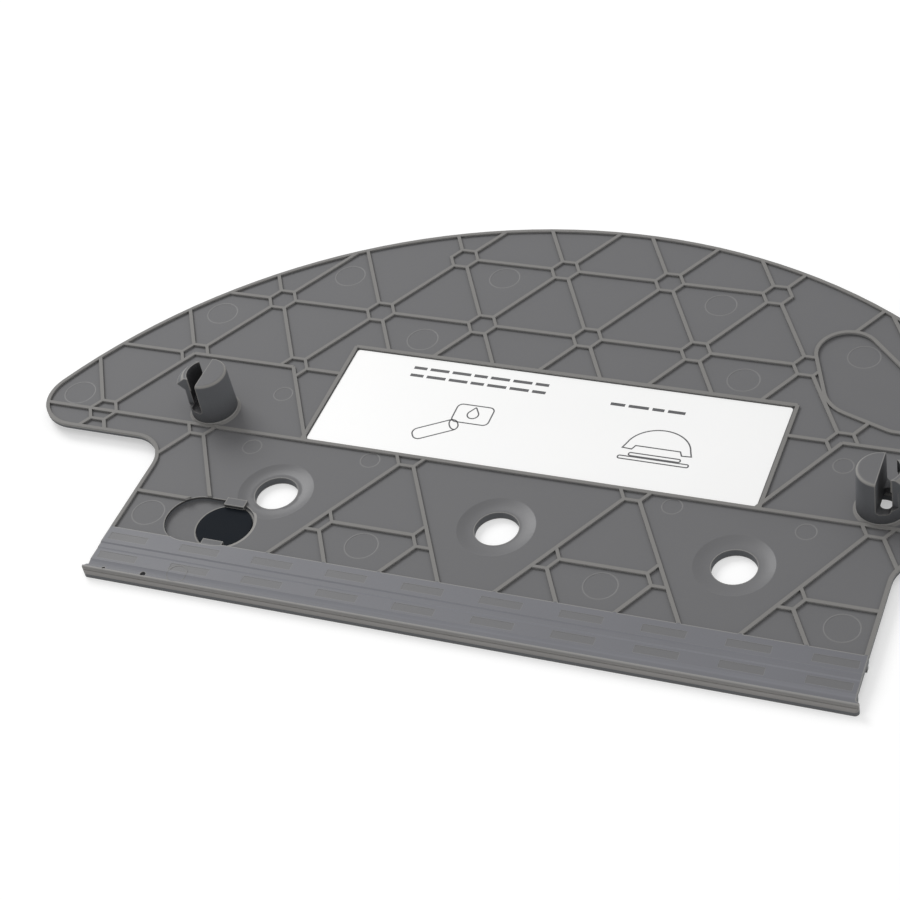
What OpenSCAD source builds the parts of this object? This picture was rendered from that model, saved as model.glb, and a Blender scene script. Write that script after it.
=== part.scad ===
// Mop bracket for a robot vacuum: a D-shaped moulded plate that carries the wet cloth under the water tank.
// The origin is under the middle of the plate. +X runs along the straight front edge, +Y towards the round
// back and +Z up. The plate rests on its front rails and its hook pads at z = 0.

/* [Plate] */
// Depth from the straight front edge to the top of the round back
body_d = 170.7; // [165:0.1:178]
// Radius of the round back edge
back_r = 171.3; // [168:0.1:180]
// Radius of the two rounded wing tips
tip_r = 12.8; // [10:0.1:15]
// Distance from the top of the round back to the front edge of the wings
wing_depth = 117.8; // [114:0.1:121]
// Half of the width of the narrow front part
front_half_w = 109.7; // [107:0.1:111]
// Radius of the inner corner between wing and front part
notch_r = 10.4; // [6:0.1:14]
// Thickness of the floor between the ribs
floor_t = 1.8; // [1.4:0.1:2.4]
// Height of the ribs and of the rim above the floor
rib_h = 0.7; // [0.5:0.1:1.6]
// Width of the ribs and of the rim
rib_w = 1.1; // [0.9:0.05:1.8]
// Bevel round the underside of the floor
under_bevel = 1; // [0.4:0.1:1.2]

/* [Rib grid] */
// Distance between two neighbouring hexagons
pitch = 34; // [33.4:0.1:34.4]
// Distance from the top of the back edge to the first row of hexagons
first_row = 21.1; // [20:0.1:22]
// Radius of a hexagon to the middle of its wall at a corner
hex_r = 4.55; // [3.5:0.05:5.5]

/* [Label] */
// Distance from the label frame to the last hexagon that it covers
frame_out = 1.1; // [0.8:0.1:2]
// Height of the label frame above the rib that closes it below
frame_h = 42.1; // [38:0.1:44]
// Gap between label and frame
label_gap = 0.4; // [0.1:0.05:0.8]
// Thickness of the label film
label_t = 0.15; // [0.1:0.05:0.3]
// Radius of the label's corners
label_corner_r = 1; // [0.5:0.1:3]

/* [Drip holes] */
// Radius of the drip holes
drip_r = 6.3; // [5:0.1:7]
// Radius of the shallow dish round a drip hole
dish_r = 11.2; // [9:0.1:12]
// Depth of the dish at the hole's edge
dish_depth = 0.8; // [0.4:0.1:1]
// Distance from the label's lower rib to the middle of the drip holes
drip_drop = 21.1; // [19:0.1:23]
// Wall of the collar under a drip hole
collar_wall = 1.5; // [1:0.1:2.5]
// Gap between a collar and the surface that the plate rests on
collar_gap = 0.2; // [0:0.1:0.5]

/* [Snap posts] */
// Radius of a post at its foot
post_r = 7; // [6:0.05:7.2]
// Radius of a post under its rounded top
post_top_r = 6.65; // [6:0.05:6.8]
// Height of a post above the floor
post_h = 15.1; // [13:0.1:18]
// Rounding of the post's top edge
post_round = 1; // [0.4:0.1:1.2]
// Distance from the hexagon column behind a post to the post, towards the plate's middle
post_in = 0.8; // [0:0.1:2]
// Distance from the wing's front edge to the posts
post_back = 15.8; // [14:0.1:17]
// Radius of the bevelled ring round a post's foot
foot_r = 7.8; // [7.4:0.1:8.4]
// Height of the bevelled ring round a post's foot
foot_h = 0.5; // [0.4:0.1:1.2]
// Width of the slot that frees the snap finger
slot_w = 3.8; // [3:0.1:4]
// Height of the slot's bottom above the floor
slot_floor = 4.3; // [3:0.1:6]
// Rounding of the slot's lower corners
slot_round = 1; // [0.5:0.1:1.4]
// Radius of the hollow behind the snap finger
hollow_r = 5.3; // [4.8:0.1:5.4]
// How far the snap hook stands out of the post
hook_out = 2.05; // [1:0.05:2.4]
// Width of the snap finger and its hook
hook_w = 8; // [6:0.1:9]
// Height of the hook's lead-in slope
hook_lead = 2.4; // [1.5:0.1:3]
// Height of the hook's release slope
hook_release = 2.1; // [1:0.1:3]
// Width of the flat on top of the finger
finger_land = 0.9; // [0.5:0.1:1.2]
// Length of the opening in the plate under the slot
core_hole_l = 8.2; // [7:0.1:9.4]
// Wall that the hollow under a post leaves at its sides, below the slot and below its top
core_wall = 1.6; // [1.2:0.1:2]

/* [Magnet seat] */
// Distance from the plate's middle line to the magnet
magnet_x = 77.6; // [76:0.1:79]
// Distance from the front edge to the magnet
magnet_y = 24.8; // [23.8:0.1:26]
// Radius of the magnet
magnet_r = 8.1; // [7:0.1:8.4]
// Thickness of the magnet
magnet_t = 0.7; // [0.4:0.1:0.8]
// Gap between the magnet and the wall of its seat
magnet_gap = 0.25; // [0.1:0.05:0.4]
// Distance from the seat to the end where the magnet is fed in
feed_x = 9; // [6:0.1:10]
// Radius of the recess over the seat and the feed end
feed_r = 9; // [8.8:0.1:9.4]
// Depth of the recess below the plate's floor
feed_depth = 1.4; // [0.8:0.1:1.5]
// How much deeper the seat is than the recess
seat_drop = 0.4; // [0.3:0.05:0.5]
// Thickness of the plate under the seat and under the recess
seat_floor_t = 1.2; // [0.9:0.1:1.4]
// Wall round the recess where it hangs below the plate's floor, and thickness of the tabs' feet
ring_w = 1; // [0.7:0.05:1.4]
// Width of the two tabs that hold the magnet down
tab_w = 6.3; // [4:0.1:8]
// How far the rear tab reaches over the magnet
rear_tab_over = 0.9; // [0.6:0.1:2.5]
// How far the front tab reaches over the magnet
front_tab_over = 1.6; // [0.6:0.1:2.5]
// Gap between the magnet and the tabs over it
tab_gap = 0.15; // [0.05:0.05:0.3]
// Thickness of the tabs
tab_t = 1.2; // [0.6:0.05:1.3]

/* [Side pocket] */
// Depth of the pocket's floor below the plate's floor
pocket_drop = 0.3; // [0.1:0.1:1.3]
// Distance from the plate's middle line to the point where the pocket's two long sides would meet
pocket_top_x = 54.1; // [52:0.1:56]
// Distance from that point to the top of the round back
pocket_top_y = 7.4; // [5:0.1:10]
// Radius of the pocket's corner between the two long sides
pocket_top_r = 8.7; // [7:0.1:9.5]
// Radius of the pocket's lower left corner
pocket_left_r = 12; // [8:0.1:14]
// Radius of the pocket's other corners
pocket_low_r = 6; // [4:0.1:7]
// Distance from the label frame's hexagon column to the pocket's lower left corner
pocket_low_x = 9.7; // [6:0.1:12]
// Distance from the second row of hexagons to the pocket's lower left corner
pocket_low_y = 14.3; // [12:0.1:17]
// Distance from the bend in the pocket's front side to the post's hexagon column
pocket_knee_x = 5; // [2:0.1:8]
// Distance from the second row of hexagons to the pocket's straight front side
pocket_front = 7.7; // [5:0.1:9]
// Distance from the plate's middle line to the pocket's far end
pocket_end_x = 108; // [105:0.5:112]
// Length of the pocket's far end
pocket_end_l = 12.2; // [11:0.1:14]

/* [Front bar] */
// Width of the thick bar along the front edge
bar_w = 16.6; // [16:0.1:17.2]
// Width of the bar's raised rear strip
strip_w = 6; // [5:0.1:7]
// Step from the rear strip down to the middle strip
strip_step = 0.25; // [0.1:0.05:0.4]
// Width of the slopes at the steps between the strips
step_slope = 0.45; // [0.3:0.05:1]
// Distance from the front edge to the step between middle and front strip
front_strip = 8.2; // [6.5:0.1:9]
// Height of the rib tops above the front strip
front_drop = 0.4; // [0.3:0.05:0.6]
// Distance from the front edge to the start of the hollow behind the lip
hollow_start = 4.1; // [3.5:0.1:5]
// Depth of the hollow behind the lip, below the front strip
hollow_depth = 0.5; // [0.2:0.05:0.7]
// Radius of the rounded lip
lip_r = 0.55; // [0.4:0.05:0.6]
// Height of the rib tops above the lip
lip_drop = 0.35; // [0.2:0.05:0.5]
// Distance from the front edge to the front of the lip
lip_in = 0.5; // [0.3:0.05:0.6]
// Width and depth of the fine groove under the lip
lip_groove = 0.15; // [0.1:0.05:0.3]
// Height of the upright front face
front_face_h = 1.3; // [1:0.1:1.5]
// Height of the rounded shoulder between the front face and the groove
shoulder_h = 1.1; // [0.8:0.1:1.2]
// Distance from the front edge to the large pit behind the lip
pit_in = 2.1; // [1.8:0.1:3]
// Distance from the front edge to the small pit
small_pit_in = 1.7; // [1.4:0.1:3]
// Distance from the plate's middle line to the large pit
pit_x = 92.1; // [85:0.1:97]
// Radius of the large pit
pit_r = 0.85; // [0.5:0.05:1]
// Distance from the large pit to the small pit
pit_pitch = 12.4; // [8:0.1:14]
// Radius of the small pit
small_pit_r = 0.55; // [0.4:0.05:0.8]
// Depth of the pits below the front strip
pit_depth = 1.4; // [0.8:0.1:1.8]
// How far the lip stands out at both ends
lip_out = 1.2; // [0.6:0.1:2]
// Width of the part that stands out at both ends
lip_end_w = 2.4; // [2:0.1:3]

/* [Cloth channel] */
// Height of the channel's roof
channel_roof = 2.3; // [2:0.1:2.5]
// Distance from the front edge to the channel
channel_front = 4.9; // [4.5:0.1:6]
// Width of the channel
channel_w = 9.5; // [8.5:0.1:9.7]
// Thickness of the rail behind the channel
rail_w = 1.4; // [1:0.1:1.5]
// Thickness of the tabs that close the channel
channel_tab_t = 0.9; // [0.6:0.1:1.1]
// Length of a channel tab
channel_tab_l = 12; // [8:0.1:14]
// Distance between two channel tabs
channel_tab_pitch = 22.7; // [20:0.1:22.8]
// How far a channel tab reaches into the channel
channel_tab_in = 2.5; // [1.5:0.1:3]
// Depth of the shallow marks that show over the channel tabs
mark_depth = 0.05; // [0.03:0.01:0.2]

/* [Hook pads] */
// Thickness of the hook pads under the plate
pad_t = 1.5; // [1.2:0.1:2]
// Width of the hook pads
pad_w = 18; // [12:0.5:19]
// Distance from the back edge to the rear pad
pad_back = 10; // [6:0.5:14]
// Half of the angle that the rear pad spans
pad_half_angle = 20; // [12:0.5:22]
// Length of the middle pad
pad_mid_l = 116; // [80:1:130]
// Length of a side pad
pad_side_l = 46; // [30:1:50]
// Gap that a side pad keeps from the post in front of it and from the pocket behind it
pad_gap = 1.5; // [1:0.1:4]
// Radius of the straight pads' corners
pad_corner_r = 3; // [1:0.5:5]

/* [Ejector marks] */
// Radius of the large ejector marks
pin_r = 4.8; // [4:0.1:5.2]
// Radius of the small ejector marks
small_pin_r = 2.9; // [2:0.1:3.3]
// Depth of the ejector marks
pin_depth = 0.05; // [0.05:0.05:0.2]

/* [Hidden] */
$fn = 96;

// Depth by which ribs, posts and walls reach into the floor that carries them
root = 0.4;
// How far a cut reaches beyond what it cuts
over = 1;
// Overlap of two layers, and half of the shortest straight side between two roundings
seam = 0.01;
// Distance beyond the plate that no part of it reaches
far = 2 * back_r;

// Heights above the surface that the plate rests on
floor_under = pad_t;
floor_top = floor_under + floor_t;
top_z = floor_top + rib_h;

// Places in the plan of the plate
front_y = -body_d / 2;
back_y = body_d / 2;
arc_mid = [0, back_y - back_r];
wing_edge = back_y - wing_depth;
bar_y = front_y + bar_w;
tip_y = wing_edge + tip_r;
tip_x = sqrt(pow(back_r - tip_r, 2) - pow(tip_y - arc_mid[1], 2));

// Rows and columns of the rib grid. Even rows are shifted by half a step.
row_step = pitch * sin(60);
function row_y(row) = back_y - first_row - row * row_step;
function col_x(row, k) = (k + (row % 2 == 0 ? 0.5 : 0)) * pitch;
function cell(row, k) = [col_x(row, k), row_y(row)];

// Row and column of each hexagon. A hexagon on the border of an open bay loses its part in the bay.
HEXAGONS = [
    for (k = [-2:1]) [0, k],
    for (k = [-3:2]) [1, k],
    for (k = [-4, -3, 2, 3]) [2, k],
    for (k = [-2:2]) [4, k]
];
// Hexagons at the upper corners of the drip bays, which keep their part in these bays
DRIP_HEXAGONS = [for (k = [-3, -1, 1, 3]) [3, k]];
// Hexagons at the outer corners of the post bays, which stay whole and have the row's rib across them
WING_HEXAGONS = [for (k = [-4, 4]) [3, k]];

// Ribs that run along a row: row, left end, right end
ROW_RIBS = [
    [0, col_x(0, -2), col_x(0, 1)],
    [1, -back_r, col_x(1, 2)],
    [2, -back_r, back_r],
    [3, -back_r, back_r],
    [4, -back_r, back_r]
];

// Bays without ribs, each with a straight rib along its border, and the bare place beside the magnet
frame_x = 2 * pitch + frame_out;
frame_y = row_y(3) + frame_h;
LABEL_BAY = [[-frame_x, row_y(3)], [frame_x, row_y(3)], [frame_x, frame_y], [-frame_x, frame_y]];
POST_BAY = [cell(3, 4), cell(2, 3), cell(2, 2), cell(3, 2)];
DRIP_COLUMNS = [-2, 0, 2];
DRIP_BAYS = [for (k = DRIP_COLUMNS) [cell(3, k - 1), cell(5, k), cell(3, k + 1)]];
TOP_BAYS = [LABEL_BAY, POST_BAY, [for (p = POST_BAY) [-p[0], p[1]]]];

label_size = [2 * frame_x - rib_w - 2 * label_gap, frame_h - rib_w - 2 * label_gap];
label_mid_y = row_y(3) + frame_h / 2;

post_x = 3 * pitch - post_in;
post_y = wing_edge + post_back;

drip_y = row_y(3) - drip_drop;
// Radius of a dish's hollow slope, which runs out level at the hole's edge
dish_slope_r = (pow(dish_r - drip_r, 2) / dish_depth + dish_depth) / 2;

magnet_at = [-magnet_x, front_y + magnet_y];
bare_top = row_y(4) - rib_w / 2;
BARE_PLACE = [[-front_half_w, front_y], [magnet_at[0], front_y], [magnet_at[0], bare_top],
              [-front_half_w, bare_top]];
feed_z = floor_top - feed_depth;
seat_z = feed_z - seat_drop;
seat_r = magnet_r + magnet_gap;
tab_z = seat_z + magnet_t + tab_gap;

// The pocket's corners before they are rounded, and their radii
pocket_z = floor_top - pocket_drop;
pocket_under = floor_under - pocket_drop;
pocket_front_y = row_y(2) + pocket_front;
POCKET = [[pocket_top_x, back_y - pocket_top_y], [2 * pitch + pocket_low_x, row_y(2) + pocket_low_y],
          [3 * pitch - pocket_knee_x, pocket_front_y], [pocket_end_x, pocket_front_y],
          [pocket_end_x, pocket_front_y + pocket_end_l]];
POCKET_RADII = [pocket_top_r, pocket_left_r, pocket_low_r, pocket_low_r, pocket_low_r];

// Places across the cloth channel, and of the tabs along it
channel_back = channel_front + channel_w;
TABS = [for (i = [-4.5:4.5]) i * channel_tab_pitch];

// Ejector marks in grid steps: to the right of the middle line, and down from the first row of hexagons
PINS = [[-2.5, 0.48], [-1.03, 0.22], [-1.475, 1.32], [1.04, 0.24], [1.5, 1.3], [-4.34, 2.79], [4.34, 2.79],
        [-3.5, 1.32], [-2.99, 4.25], [-1.02, 4.22], [1.04, 4.22], [2.97, 4.24]];
SMALL_PINS = [[-2.45, 2.39], [-2.44, 3.18], [2.57, 2.28], [2.46, 3.18], [1.34, 3.12], [-1.34, 3.12]];
POCKET_PIN = [2.43, 0.742];
function pin_at(p, z) = [p[0] * pitch, row_y(0) - p[1] * row_step, z - pin_depth];

module mirror_copy() {
    children();
    mirror([1, 0, 0]) children();
}

// Straight rib in the plan between two points
module rib_line(a, b) {
    d = b - a;
    translate(a) rotate(atan2(d[1], d[0])) translate([0, -rib_w / 2]) square([norm(d), rib_w]);
}

// Ribs along all sides of a polygon
module rib_frame(pts) {
    n = len(pts);
    for (i = [0:n - 1]) rib_line(pts[i], pts[(i + 1) % n]);
}

// Rectangle with rounded corners, around the origin
module rounded_rectangle(size, r) {
    square([size[0] - 2 * r, size[1]], center = true);
    square([size[0], size[1] - 2 * r], center = true);
    for (x = [-1, 1], y = [-1, 1]) translate([x * (size[0] / 2 - r), y * (size[1] / 2 - r)]) circle(r);
}

// Plan of the sector outside a rounded corner: from its middle towards both tangent points and on
module corner_sector(mid, dir_a, dir_b) {
    polygon([mid, mid + far * dir_a, mid + far * (dir_a + dir_b), mid + far * dir_b]);
}

// Layer of the plate from z0 to z1. Its edge lies in0 inside the outline below and in1 inside it above.
module outline_layer(z0, z1, in0, in1) {
    h = z1 - z0;
    tip = [tip_x, tip_y];
    tip_dir = (tip - arc_mid) / norm(tip - arc_mid);
    // Round back with the wings, still without their tips
    difference() {
        intersection() {
            translate([0, arc_mid[1], z0]) cylinder(h = h, r1 = back_r - in0, r2 = back_r - in1, $fn = 360);
            translate([-far / 2, 0, 0]) rotate([90, 0, 90]) linear_extrude(far)
                polygon([[wing_edge + in0, z0], [far, z0], [far, z1], [wing_edge + in1, z1]]);
        }
        mirror_copy() translate([0, 0, z0 - over]) linear_extrude(h + 2 * over)
            corner_sector(tip, [0, -1], tip_dir);
    }
    // Wing tips
    mirror_copy() intersection() {
        translate([tip_x, tip_y, z0]) cylinder(h = h, r1 = tip_r - in0, r2 = tip_r - in1);
        translate([0, 0, z0 - over]) linear_extrude(h + 2 * over) corner_sector(tip, [0, -1], tip_dir);
    }
    // Narrow front part
    translate([0, tip_y, 0]) rotate([90, 0, 0]) linear_extrude(tip_y - bar_y + root)
        polygon([[-front_half_w + in0, z0], [front_half_w - in0, z0], [front_half_w - in1, z1],
                 [-front_half_w + in1, z1]]);
    // Hollow corners between the wings and the front part
    mirror_copy() difference() {
        translate([front_half_w - notch_r, wing_edge - notch_r, z0])
            cube([2 * notch_r, notch_r + tip_r / 2, h]);
        translate([front_half_w + notch_r, wing_edge - notch_r, z0])
            cylinder(h = h, r1 = notch_r + in0, r2 = notch_r + in1);
    }
}

module plate_floor() {
    outline_layer(floor_under + under_bevel, floor_top, 0, 0);
    outline_layer(floor_under, floor_under + under_bevel + seam, under_bevel, 0);
}

// The rim ends at the front bar
module rim() {
    difference() {
        outline_layer(floor_top - root, top_z, 0, 0);
        outline_layer(floor_top - over, top_z + over, rib_w, rib_w);
    }
}

// Rows of the grid and its two families of slanting lines
module grid_lines() {
    for (r = ROW_RIBS) rib_line([r[1], row_y(r[0])], [r[2], row_y(r[0])]);
    along = [pitch / 2, row_step];
    mirror_copy() for (k = [-3:5]) rib_line(cell(0, k) - 5 * along, cell(0, k) + along);
}

module hexagon_ring() {
    difference() {
        circle(hex_r + rib_w / 2, $fn = 6);
        circle(hex_r - rib_w / 2, $fn = 6);
    }
}

// The ribs of the children end at the walls of these hexagons
module with_hexagons(list) {
    difference() {
        children();
        for (h = list) translate(cell(h[0], h[1])) circle(hex_r, $fn = 6);
    }
    for (h = list) translate(cell(h[0], h[1])) hexagon_ring();
}

// The children are cut out of these bays, and a rib runs along the border of each
module with_bays(list) {
    difference() {
        children();
        for (bay = list) polygon(bay);
    }
    for (bay = list) rib_frame(bay);
}

// Plan of the whole rib grid, still without the plate's outline
module rib_plan() {
    difference() {
        with_hexagons(WING_HEXAGONS) with_bays(TOP_BAYS) with_hexagons(DRIP_HEXAGONS) with_bays(DRIP_BAYS)
            with_hexagons(HEXAGONS) grid_lines();
        polygon(BARE_PLACE);
    }
    for (h = WING_HEXAGONS) translate(cell(h[0], h[1])) rib_line([-hex_r, 0], [hex_r, 0]);
}

module ribs() {
    intersection() {
        translate([0, 0, floor_top - root]) linear_extrude(rib_h + root) rib_plan();
        outline_layer(floor_top - root, top_z, rib_w / 2, rib_w / 2);
    }
}

// Rounding of the corner q between the sides to p and s: the two points where it begins and ends on an
// outline grown by g, and its middle
function corner(p, q, s, r, g) =
    let (a = (p - q) / norm(p - q), b = (s - q) / norm(s - q), half = acos(a * b) / 2, t = r / tan(half),
         mid = q + (a + b) / norm(a + b) * r / sin(half), k = (r + g) / r)
    [mid + (q + a * t - mid) * k, mid + (q + b * t - mid) * k, mid];

// Plan of the pocket, grown by g on all sides
module pocket_plan(g) {
    n = len(POCKET);
    corners = [for (i = [0:n - 1])
        corner(POCKET[(i + n - 1) % n], POCKET[i], POCKET[(i + 1) % n], POCKET_RADII[i], g)];
    polygon([for (c = corners) each [c[0], c[1]]]);
    for (i = [0:n - 1]) translate(corners[i][2]) circle(POCKET_RADII[i] + g);
}

// Plan of the magnet's recess, grown by g on all sides: the place of the magnet and its feed end
module recess_plan(g) {
    r = feed_r + g;
    translate(magnet_at) {
        circle(r);
        translate([-feed_x, 0]) circle(r);
        translate([-feed_x, -r]) square([feed_x, 2 * r]);
    }
}

// Tabs that reach over the magnet from both sides of its recess, each from a foot beside the recess
module magnet_tabs() {
    for (tab = [[0, rear_tab_over], [1, front_tab_over]])
        translate([magnet_at[0], magnet_at[1], 0]) mirror([0, tab[0], 0]) {
            inner = magnet_r - tab[1];
            translate([-tab_w / 2, inner, tab_z]) cube([tab_w, feed_r + ring_w - inner, tab_t]);
            translate([-tab_w / 2, feed_r - seam, feed_z])
                cube([tab_w, ring_w + seam, tab_z + tab_t - feed_z]);
        }
}

// Section of the front bar: to the right of the front edge, and up
module bar_section() {
    front_strip_z = top_z - front_drop;
    lip_mid = [lip_in + lip_r, top_z - lip_drop - lip_r];
    ledge_z = front_face_h + shoulder_h;
    shoulder_r = (lip_in * lip_in + shoulder_h * shoulder_h) / (2 * lip_in);
    middle_z = top_z - strip_step;
    // The hollow behind the lip is round, and lowest one lip's width behind it
    dip_v = lip_mid[0] + 2 * lip_r;
    dip_r = (pow(hollow_start - dip_v, 2) / hollow_depth + hollow_depth) / 2;
    difference() {
        polygon([[0, 0], [0, front_face_h], [lip_in, front_face_h], [lip_in, lip_mid[1]], lip_mid,
                 [lip_mid[0], front_strip_z], [front_strip, front_strip_z],
                 [front_strip + step_slope, middle_z], [bar_w - strip_w - step_slope, middle_z],
                 [bar_w - strip_w, top_z], [bar_w, top_z], [bar_w, floor_under],
                 [channel_back + rail_w, floor_under], [channel_back + rail_w, 0]]);
        intersection() {
            translate([dip_v, front_strip_z - hollow_depth + dip_r]) circle(dip_r);
            translate(lip_mid) square(far);
        }
        translate([channel_front, -over]) square([channel_w, channel_roof + over]);
        translate([-over, ledge_z]) square([over + lip_in + lip_groove, lip_groove]);
    }
    intersection() {
        translate([shoulder_r, front_face_h]) circle(shoulder_r);
        square([lip_in + root, ledge_z]);
    }
    difference() {
        translate(lip_mid) circle(lip_r);
        translate([-over, ledge_z - over]) square([over + lip_in + lip_groove, over + lip_groove]);
    }
}

module front_bar() {
    length = 2 * (front_half_w + lip_out);
    intersection() {
        translate([-length / 2, front_y, 0]) rotate([90, 0, 90]) linear_extrude(length) bar_section();
        translate([0, front_y, -over]) linear_extrude(top_z + 2 * over) {
            translate([-front_half_w, 0]) square([2 * front_half_w, bar_w]);
            translate([0, lip_end_w / 2]) rounded_rectangle([length, lip_end_w], lip_end_w / 2 - seam);
        }
    }
    for (x = TABS, v = [channel_front - root, channel_back - channel_tab_in])
        translate([x - channel_tab_l / 2, front_y + v, 0])
            cube([channel_tab_l, channel_tab_in + root, channel_tab_t]);
}

// Shallow marks on top of the front bar, one over each tab of the channel
module bar_marks() {
    for (x = TABS, at = [[channel_front, top_z - front_drop], [channel_back - channel_tab_in, top_z]])
        translate([x - channel_tab_l / 2, front_y + at[0], at[1] - mark_depth])
            cube([channel_tab_l, channel_tab_in, over]);
}

// Two pits behind the lip, on the magnet's side
module pits() {
    for (pit = [[pit_x, pit_in, pit_r], [pit_x + pit_pitch, small_pit_in, small_pit_r]])
        translate([-pit[0], front_y + pit[1], top_z - front_drop - pit_depth])
            cylinder(r = pit[2], h = top_z);
}

// Snap post, standing on z = 0, with its snap finger towards +X
module snap_post() {
    hook_r = post_top_r + hook_out;
    hook_under = post_h - hook_lead - hook_release;
    cut_z = slot_floor + slot_round;
    difference() {
        union() {
            rotate_extrude() {
                polygon([[0, -root], [post_r, -root], [post_r, 0], [post_top_r, post_h - post_round],
                         [post_top_r - post_round, post_h], [0, post_h]]);
                translate([post_top_r - post_round, post_h - post_round]) circle(post_round);
            }
            cylinder(h = foot_h, r1 = foot_r, r2 = post_r);
        }
        // Slot right through the post
        translate([0, post_r + over, 0]) rotate([90, 0, 0]) linear_extrude(2 * (post_r + over)) {
            translate([0, cut_z]) square([slot_w, post_h]);
            translate([slot_round, slot_floor]) square([slot_w - 2 * slot_round, 2 * slot_round]);
            for (x = [slot_round, slot_w - slot_round]) translate([x, cut_z]) circle(slot_round);
        }
        // Hollow behind the finger, and the free sides of the finger
        translate([0, 0, cut_z]) intersection() {
            cylinder(r = hollow_r, h = post_h);
            translate([0, -post_r, 0]) cube([post_r, 2 * post_r, post_h]);
        }
        for (side = [0, 1]) mirror([0, side, 0])
            translate([slot_w / 2, hook_w / 2, cut_z]) cube([post_r, post_r, post_h]);
    }
    intersection() {
        rotate_extrude() polygon([[hollow_r, hook_under], [post_top_r, hook_under],
                                  [hook_r, post_h - hook_lead], [hollow_r + finger_land, post_h],
                                  [hollow_r, post_h]]);
        translate([0, -hook_w / 2, 0]) cube([hook_r + over, hook_w, post_h]);
    }
}

// Opening through the plate and the slot's floor, and the hollow under the post, which is deeper in the half
// without the finger
module post_core() {
    below = floor_top + over;
    core_r = post_top_r - core_wall;
    translate([0, 0, -below]) {
        translate([slot_w / 2, 0, 0]) linear_extrude(below + slot_floor + slot_round)
            rounded_rectangle([slot_w, core_hole_l], slot_w / 2 - seam);
        cylinder(r = core_r, h = below + slot_floor - core_wall);
        intersection() {
            cylinder(r = core_r, h = below + post_h - core_wall);
            translate([-post_r, -post_r, 0]) cube([post_r - core_wall, 2 * post_r, below + post_h]);
        }
    }
}

module drip_cuts() {
    for (k = DRIP_COLUMNS) translate([k * pitch, drip_y, 0]) {
        translate([0, 0, -over]) cylinder(r = drip_r, h = top_z + 2 * over);
        translate([0, 0, floor_top]) rotate_extrude() intersection() {
            translate([drip_r - over, -dish_depth]) square([dish_r - drip_r + over, dish_depth + root]);
            translate([drip_r, dish_slope_r - dish_depth]) circle(dish_slope_r);
        }
    }
}

module collars() {
    for (k = DRIP_COLUMNS) translate([k * pitch, drip_y, collar_gap])
        cylinder(r = drip_r + collar_wall, h = floor_under - collar_gap + root);
}

module ejector_marks() {
    for (p = PINS) translate(pin_at(p, floor_top)) cylinder(r = pin_r, h = over);
    for (p = SMALL_PINS) translate(pin_at(p, floor_top)) cylinder(r = small_pin_r, h = over);
}

module bracket_plate() {
    color([0.46, 0.46, 0.47]) {
        difference() {
            union() {
                difference() {
                    plate_floor();
                    ejector_marks();
                }
                difference() {
                    union() {
                        rim();
                        ribs();
                        front_bar();
                    }
                    translate([0, 0, pocket_z]) linear_extrude(top_z) pocket_plan(rib_w / 2);
                    bar_marks();
                    pits();
                }
                translate([0, 0, pocket_under]) linear_extrude(top_z - pocket_under) pocket_plan(rib_w);
                translate([0, 0, feed_z - seat_floor_t]) linear_extrude(floor_top - feed_z + seat_floor_t)
                    recess_plan(ring_w);
                translate([magnet_at[0], magnet_at[1], seat_z - seat_floor_t])
                    cylinder(r = seat_r + seat_floor_t, h = floor_top - seat_z + seat_floor_t);
                collars();
                mirror_copy() translate([post_x, post_y, floor_top]) snap_post();
            }
            translate([0, 0, pocket_z]) linear_extrude(top_z) pocket_plan(0);
            translate(pin_at(POCKET_PIN, pocket_z)) cylinder(r = pin_r, h = over);
            translate([0, 0, feed_z]) linear_extrude(top_z) recess_plan(0);
            translate([magnet_at[0], magnet_at[1], seat_z]) cylinder(r = seat_r, h = top_z);
            drip_cuts();
            mirror_copy() translate([post_x, post_y, floor_top]) post_core();
        }
        magnet_tabs();
    }
}

module magnet_disc() {
    color([0.14, 0.15, 0.17]) translate([magnet_at[0], magnet_at[1], seat_z])
        cylinder(r = magnet_r, h = magnet_t);
}

module label_film() {
    color([0.97, 0.97, 0.96]) translate([0, label_mid_y, floor_top]) linear_extrude(label_t)
        rounded_rectangle(label_size, label_corner_r);
}

// Pad along the round back, with round ends
module hook_pad_rear() {
    mid_r = back_r - pad_back - pad_w / 2;
    side = [sin(pad_half_angle), cos(pad_half_angle)];
    color([0.12, 0.12, 0.13]) translate(arc_mid) linear_extrude(pad_t) {
        intersection() {
            difference() {
                circle(mid_r + pad_w / 2, $fn = 360);
                circle(mid_r - pad_w / 2, $fn = 360);
            }
            polygon([[0, 0], far * [-side[0], side[1]], far * side]);
        }
        for (x = [-1, 1]) translate([x * side[0] * mid_r, side[1] * mid_r]) circle(pad_w / 2);
    }
}

module straight_pad(x, y, length, width) {
    color([0.12, 0.12, 0.13]) translate([x, y, 0]) linear_extrude(pad_t)
        rounded_rectangle([length, width], pad_corner_r);
}

module hook_pad_middle() {
    straight_pad(0, label_mid_y, pad_mid_l, pad_w);
}

// The side pads fill the space between the post and the pocket
module hook_pad_right() {
    low = post_y + post_r + pad_gap;
    high = pocket_front_y - rib_w - pad_gap;
    straight_pad(post_x + post_r, (low + high) / 2, pad_side_l, high - low);
}

module hook_pad_left() {
    mirror([1, 0, 0]) hook_pad_right();
}

bracket_plate();
magnet_disc();
label_film();
hook_pad_rear();
hook_pad_middle();
hook_pad_left();
hook_pad_right();
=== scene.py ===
"""Looks of the mop bracket: finishes for its moulded plate, a detailed magnet, hook tape and label print,
and the stage that it is shown on. Every piece is worked out in millimetres and put into its mesh in metres."""

import bmesh
import bpy
import numpy as np
from bpy.props import FloatProperty, FloatVectorProperty, PointerProperty
from bpy.types import Operator, Panel, PropertyGroup
from mathutils import Matrix, Vector


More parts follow.
